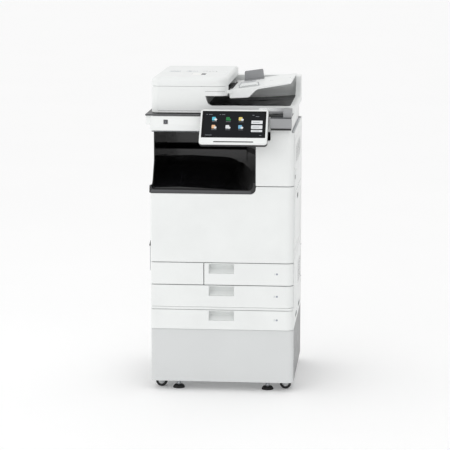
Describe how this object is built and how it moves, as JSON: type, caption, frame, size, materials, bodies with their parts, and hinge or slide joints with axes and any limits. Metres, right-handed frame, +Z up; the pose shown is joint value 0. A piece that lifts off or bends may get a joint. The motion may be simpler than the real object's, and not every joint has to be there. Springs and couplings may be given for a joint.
{
  "type": "photocopier",
  "caption": "Floor-standing A3 photocopier with document feeder, tilting touch panel, in-body output tray, paper drawers, side bypass and caster pedestal.",
  "frame": {"origin": "on the floor, under the centre of the whole machine's bounding box", "axes": "+Z up, +X to the operator's right, -Y towards the operator"},
  "size_m": [0.595, 0.7196, 1.2474],
  "materials": {
    "white_cover": "fine-grained moulded cover",
    "pedestal_paint": "satin powder coat",
    "steel": "zinc-plated sheet",
    "pin_steel": "bright turned steel",
    "black_rubber": "matt",
    "tyre": "matt",
    "black_plastic": "dark semi-gloss moulding",
    "dark_grey_plastic": "fine grain",
    "grey_plastic": "satin grey",
    "light_grey_plastic": "satin light grey",
    "screen_glass": "black glass with a lit screen",
    "platen_glass": "clear float glass",
    "drum_coating": "glossy blue-green coating",
    "belt_film": "satin black film",
    "roller_rubber": "silicone sleeve",
    "toner_plastic": "dark moulding",
    "circuit_board": "green laminate with parts",
    "screw_steel": "zinc-plated"
  },
  "bodies": {
    "pedestal": {"pedestal_cabinet": "pedestal_paint", "pedestal_front_panel": "white_cover", "locating_pins": "pin_steel"},
    "adjuster_left": {"adjuster_left": "black_rubber"},
    "adjuster_right": {"adjuster_right": "black_rubber"},
    "main_unit": {"lower_module_case": "white_cover", "main_frame": "steel", "left_cover": "white_cover", "right_cover": "white_cover", "rear_cover": "white_cover", "cover_screws": "screw_steel", "left_front_panel": "white_cover", "upper_front_cover": "white_cover", "output_tray": "black_plastic", "side_grip": "light_grey_plastic", "inner_cover": "light_grey_plastic", "laser_unit": "dark_grey_plastic", "transfer_belt": "belt_film", "toner_containers": "toner_plastic", "circuit_boards": "circuit_board", "scanner_housing": "white_cover", "scanner_top_frame": "dark_grey_plastic", "platen_glass": "platen_glass", "panel_base": "grey_plastic"},
    "front_door": {"front_door": "white_cover"},
    "right_door": {"right_door": "white_cover"},
    "bypass_tray": {"bypass_tray": "white_cover"},
    "heat_roller": {"heat_roller": "roller_rubber"},
    "pressure_roller": {"pressure_roller": "roller_rubber"},
    "exit_roller": {"exit_roller": "black_rubber"},
    "scan_carriage": {"scan_carriage": "dark_grey_plastic"},
    "power_button": {"power_button": "dark_grey_plastic"},
    "control_panel": {"panel_housing": "white_cover", "panel_screen": "screen_glass"},
    "feeder_hinges": {"hinge_posts": "steel"},
    "feeder": {"feeder_base": "white_cover", "feeder_exit_tray": "black_plastic"},
    "feeder_cover": {"feeder_cover": "white_cover"},
    "document_tray": {"document_tray": "white_cover"},
    "document_guide_rear": {"document_guide_rear": "grey_plastic"},
    "document_guide_front": {"document_guide_front": "light_grey_plastic"},
    "feed_pickup_roller": {"feed_pickup_roller": "roller_rubber"},
    "caster_1_fork": {"caster_fork_1": "steel"},
    "caster_1_wheel": {"caster_wheel_1": "tyre"},
    "drum_1": {"drum_1": "drum_coating"},
    "caster_2_fork": {"caster_fork_2": "steel"},
    "caster_2_wheel": {"caster_wheel_2": "tyre"},
    "drum_2": {"drum_2": "drum_coating"},
    "caster_3_fork": {"caster_fork_3": "steel"},
    "caster_3_wheel": {"caster_wheel_3": "tyre"},
    "drum_3": {"drum_3": "drum_coating"},
    "caster_4_fork": {"caster_fork_4": "steel"},
    "caster_4_wheel": {"caster_wheel_4": "tyre"},
    "drum_4": {"drum_4": "drum_coating"},
    "cassette_1": {"cassette_front_1": "white_cover", "cassette_tray_1": "dark_grey_plastic"},
    "cassette_2": {"cassette_front_2": "white_cover", "cassette_tray_2": "dark_grey_plastic"},
    "cassette_3": {"cassette_front_3": "white_cover", "cassette_tray_3": "dark_grey_plastic"}
  },
  "joints": [
    {"name": "main_unit_lift", "type": "slide", "parent": "pedestal", "child": "main_unit", "axis": [0, 0, 1], "range_m": [0, 0.3]},
    {"name": "adjuster_left_screw_down", "type": "slide", "parent": "pedestal", "child": "adjuster_left", "axis": [0, 0, -1], "range_m": [0, 0.01]},
    {"name": "adjuster_right_screw_down", "type": "slide", "parent": "pedestal", "child": "adjuster_right", "axis": [0, 0, -1], "range_m": [0, 0.01]},
    {"name": "caster_1_swivel", "type": "hinge", "parent": "pedestal", "child": "caster_1_fork", "pos_m": [-0.2225, -0.17242, 0.06], "axis": [0, 0, 1], "continuous": true},
    {"name": "caster_1_roll", "type": "hinge", "parent": "caster_1_fork", "child": "caster_1_wheel", "pos_m": [-0.2395, -0.17242, 0.023], "axis": [0, 1, 0], "continuous": true},
    {"name": "caster_2_swivel", "type": "hinge", "parent": "pedestal", "child": "caster_2_fork", "pos_m": [0.2415, -0.17242, 0.06], "axis": [0, 0, 1], "continuous": true},
    {"name": "caster_2_roll", "type": "hinge", "parent": "caster_2_fork", "child": "caster_2_wheel", "pos_m": [0.2585, -0.17242, 0.023], "axis": [0, 1, 0], "continuous": true},
    {"name": "caster_3_swivel", "type": "hinge", "parent": "pedestal", "child": "caster_3_fork", "pos_m": [-0.2225, 0.28158, 0.06], "axis": [0, 0, 1], "continuous": true},
    {"name": "caster_3_roll", "type": "hinge", "parent": "caster_3_fork", "child": "caster_3_wheel", "pos_m": [-0.2395, 0.28158, 0.023], "axis": [0, 1, 0], "continuous": true},
    {"name": "caster_4_swivel", "type": "hinge", "parent": "pedestal", "child": "caster_4_fork", "pos_m": [0.2415, 0.28158, 0.06], "axis": [0, 0, 1], "continuous": true},
    {"name": "caster_4_roll", "type": "hinge", "parent": "caster_4_fork", "child": "caster_4_wheel", "pos_m": [0.2585, 0.28158, 0.023], "axis": [0, 1, 0], "continuous": true},
    {"name": "front_door_open", "type": "hinge", "parent": "main_unit", "child": "front_door", "pos_m": [0.0095, -0.24342, 0.5325], "axis": [1, 0, 0], "range_deg": [0, 90]},
    {"name": "right_door_open", "type": "hinge", "parent": "main_unit", "child": "right_door", "pos_m": [0.2845, 0.26658, 0.765], "axis": [0, 0, 1], "range_deg": [0, 85]},
    {"name": "bypass_tray_open", "type": "hinge", "parent": "right_door", "child": "bypass_tray", "pos_m": [0.2865, 0.03958, 0.566], "axis": [0, 1, 0], "range_deg": [0, 65]},
    {"name": "cassette_1_pull", "type": "slide", "parent": "main_unit", "child": "cassette_1", "axis": [0, -1, 0], "range_m": [0, 0.4]},
    {"name": "cassette_2_pull", "type": "slide", "parent": "main_unit", "child": "cassette_2", "axis": [0, -1, 0], "range_m": [0, 0.4]},
    {"name": "cassette_3_pull", "type": "slide", "parent": "main_unit", "child": "cassette_3", "axis": [0, -1, 0], "range_m": [0, 0.4]},
    {"name": "drum_1_spin", "type": "hinge", "parent": "main_unit", "child": "drum_1", "pos_m": [-0.1605, 0.05958, 0.62], "axis": [0, 1, 0], "continuous": true},
    {"name": "drum_2_spin", "type": "hinge", "parent": "main_unit", "child": "drum_2", "pos_m": [-0.0705, 0.05958, 0.62], "axis": [0, 1, 0], "continuous": true},
    {"name": "drum_3_spin", "type": "hinge", "parent": "main_unit", "child": "drum_3", "pos_m": [0.0195, 0.05958, 0.62], "axis": [0, 1, 0], "continuous": true},
    {"name": "drum_4_spin", "type": "hinge", "parent": "main_unit", "child": "drum_4", "pos_m": [0.1095, 0.05958, 0.62], "axis": [0, 1, 0], "continuous": true},
    {"name": "heat_roller_spin", "type": "hinge", "parent": "main_unit", "child": "heat_roller", "pos_m": [0.2045, 0.05958, 0.88], "axis": [0, 1, 0], "continuous": true},
    {"name": "pressure_roller_spin", "type": "hinge", "parent": "main_unit", "child": "pressure_roller", "pos_m": [0.2409, 0.05958, 0.88], "axis": [0, 1, 0], "continuous": true},
    {"name": "exit_roller_spin", "type": "hinge", "parent": "main_unit", "child": "exit_roller", "pos_m": [0.1555, 0.05958, 0.947], "axis": [0, 1, 0], "continuous": true},
    {"name": "scan_carriage_travel", "type": "slide", "parent": "main_unit", "child": "scan_carriage", "axis": [1, 0, 0], "range_m": [0, 0.44]},
    {"name": "power_button_press", "type": "slide", "parent": "main_unit", "child": "power_button", "axis": [0, 1, 0], "range_m": [0, 0.003], "stiffness_N_per_m": 400, "springref_m": -0.0015},
    {"name": "panel_tilt", "type": "hinge", "parent": "main_unit", "child": "control_panel", "pos_m": [0.2495, -0.23442, 1.12], "axis": [1, 0, 0], "range_deg": [-35, 20]},
    {"name": "feeder_lift_off", "type": "slide", "parent": "main_unit", "child": "feeder_hinges", "axis": [0, 0, 1], "range_m": [0, 0.25]},
    {"name": "feeder_open", "type": "hinge", "parent": "feeder_hinges", "child": "feeder", "pos_m": [0.0095, 0.34758, 1.12], "axis": [-1, 0, 0], "range_deg": [0, 70]},
    {"name": "feeder_cover_open", "type": "hinge", "parent": "feeder", "child": "feeder_cover", "pos_m": [-0.2695, 0.05958, 1.216], "axis": [0, -1, 0], "range_deg": [0, 70]},
    {"name": "document_tray_lift", "type": "hinge", "parent": "feeder", "child": "document_tray", "pos_m": [0.0355, 0.05958, 1.188], "axis": [0, -1, 0], "range_deg": [0, 25]},
    {"name": "document_guide_rear_slide", "type": "slide", "parent": "document_tray", "child": "document_guide_rear", "axis": [0, -1, 0], "range_m": [0, 0.07]},
    {"name": "document_guide_front_slide", "type": "slide", "parent": "document_tray", "child": "document_guide_front", "axis": [0, 1, 0], "range_m": [0, 0.07]},
    {"name": "feed_pickup_roller_spin", "type": "hinge", "parent": "feeder", "child": "feed_pickup_roller", "pos_m": [-0.0105, 0.05958, 1.2], "axis": [0, 1, 0], "continuous": true}
  ],
  "couplings": [
    {"joint": "drum_2_spin", "follows": "drum_1_spin", "ratio": 1},
    {"joint": "drum_3_spin", "follows": "drum_1_spin", "ratio": 1},
    {"joint": "drum_4_spin", "follows": "drum_1_spin", "ratio": 1},
    {"joint": "pressure_roller_spin", "follows": "heat_roller_spin", "ratio": -1},
    {"joint": "exit_roller_spin", "follows": "heat_roller_spin", "ratio": 2},
    {"joint": "document_guide_front_slide", "follows": "document_guide_rear_slide", "ratio": 1}
  ]
}
